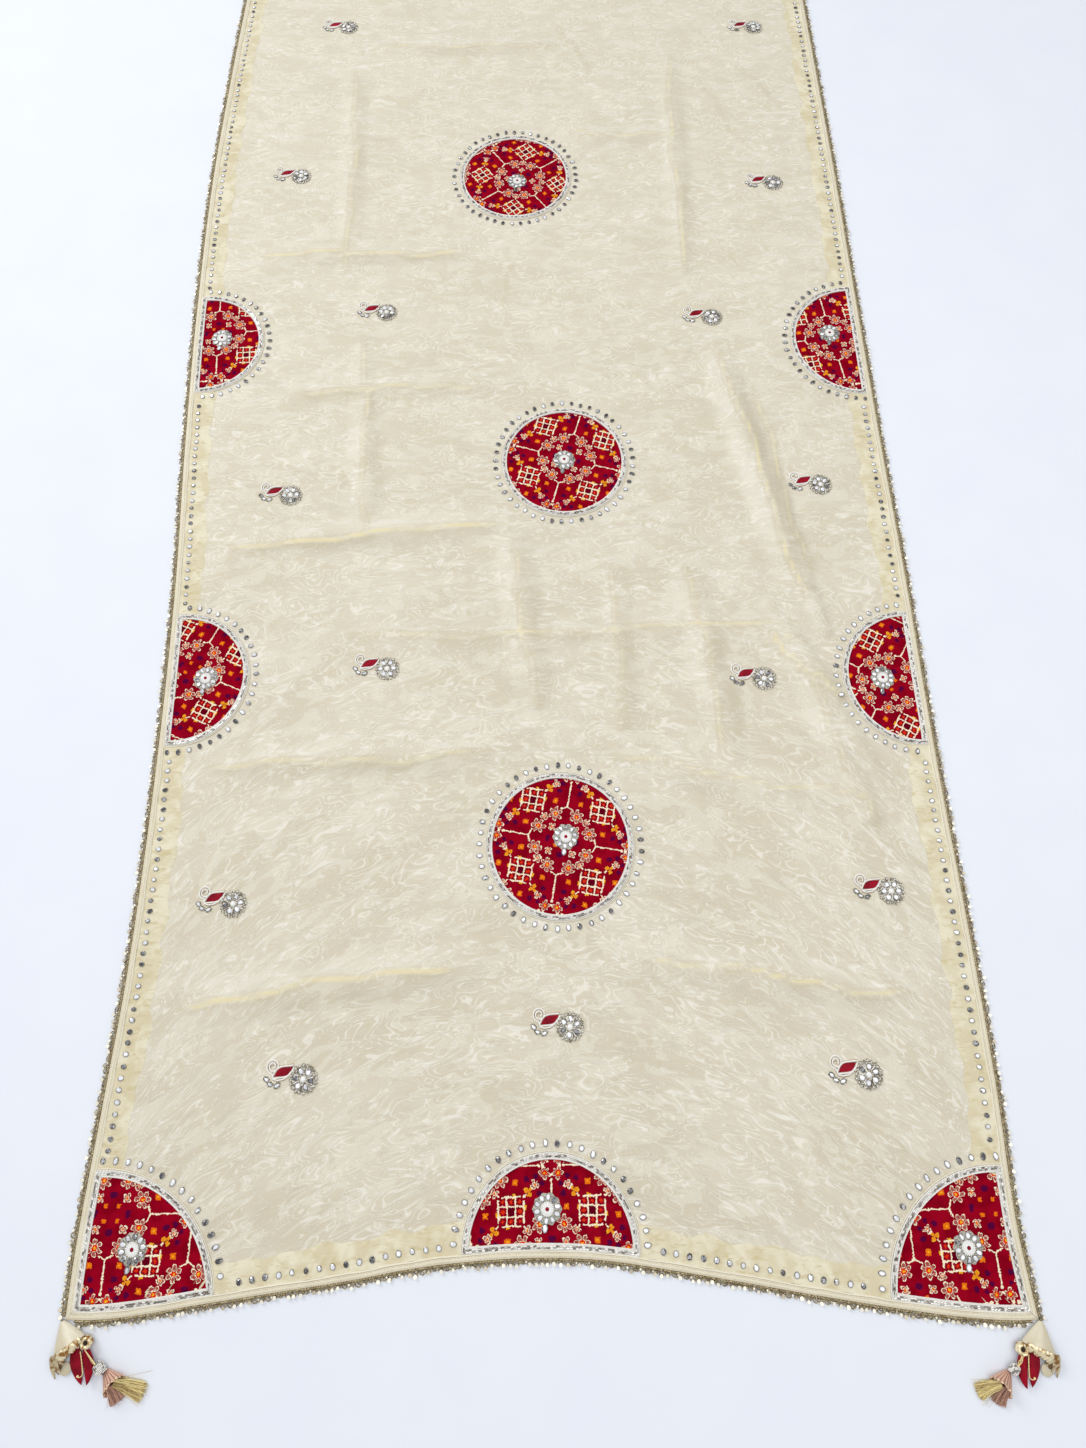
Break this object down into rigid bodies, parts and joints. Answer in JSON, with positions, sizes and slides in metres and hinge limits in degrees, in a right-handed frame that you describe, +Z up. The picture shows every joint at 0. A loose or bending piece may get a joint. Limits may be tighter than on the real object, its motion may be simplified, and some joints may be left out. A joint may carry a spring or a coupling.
{
  "type": "saree",
  "caption": "Cream moire saree laid flat, with satin binding, metal lace, red printed medallions, mirror-work flower motifs and corner tassels.",
  "frame": {"origin": "centre of the saree's bounding box in plan, at the level of the surface it lies on", "axes": "+X across the cloth, +Y along it from the tasselled pallu end to the plain end, +Z up out of its face"},
  "size_m": [1.1496, 5.592, 0.0181],
  "materials": {
    "tissue": "cream moire tissue with a soft sheen",
    "hem": "turned cream cloth, puckered along its stitches",
    "satin": "cream satin",
    "lace": "antique gold metal thread with small sequins",
    "print": "crimson printed silk inside a beaded rim",
    "mirror_work": "small mirrors, beads and silk on the cloth",
    "red_silk": "crimson silk",
    "silver_bead": "ball covered in small silver beads",
    "rose_thread": "rose-brown thread",
    "gold_thread": "pale gold thread"
  },
  "bodies": {
    "root": {"cloth": "tissue", "hem_left_1": "hem", "hem_left_2": "hem", "hem_left_3": "hem", "hem_right_1": "hem", "hem_right_2": "hem", "hem_right_3": "hem", "hem_pallu_1": "hem", "hem_pallu_2": "hem", "binding_left": "satin", "binding_right": "satin", "binding_pallu": "satin", "lace_left": "lace", "lace_right": "lace", "lace_pallu": "lace", "medallion_centre_1": "print", "medallion_centre_2": "print", "medallion_centre_3": "print", "medallion_left_1": "print", "medallion_left_2": "print", "medallion_right_1": "print", "medallion_right_2": "print", "medallion_corner_left": "print", "medallion_corner_right": "print", "medallion_pallu": "print", "motif_left_1": "mirror_work", "motif_left_2": "mirror_work", "motif_left_3": "mirror_work", "motif_left_4": "mirror_work", "motif_left_5": "mirror_work", "motif_left_6": "mirror_work", "motif_left_7": "mirror_work", "motif_right_1": "mirror_work", "motif_right_2": "mirror_work", "motif_right_3": "mirror_work", "motif_right_4": "mirror_work", "motif_right_5": "mirror_work", "motif_right_6": "mirror_work", "motif_right_7": "mirror_work", "motif_middle": "mirror_work", "tassel_left_cone": "satin", "tassel_left_petal_1": "red_silk", "tassel_left_petal_2": "red_silk", "tassel_left_bead": "silver_bead", "tassel_left_rose": "rose_thread", "tassel_left_gold": "gold_thread", "tassel_right_cone": "satin", "tassel_right_petal_1": "red_silk", "tassel_right_petal_2": "red_silk", "tassel_right_bead": "silver_bead", "tassel_right_rose": "rose_thread", "tassel_right_gold": "gold_thread"}
  },
  "joints": []
}
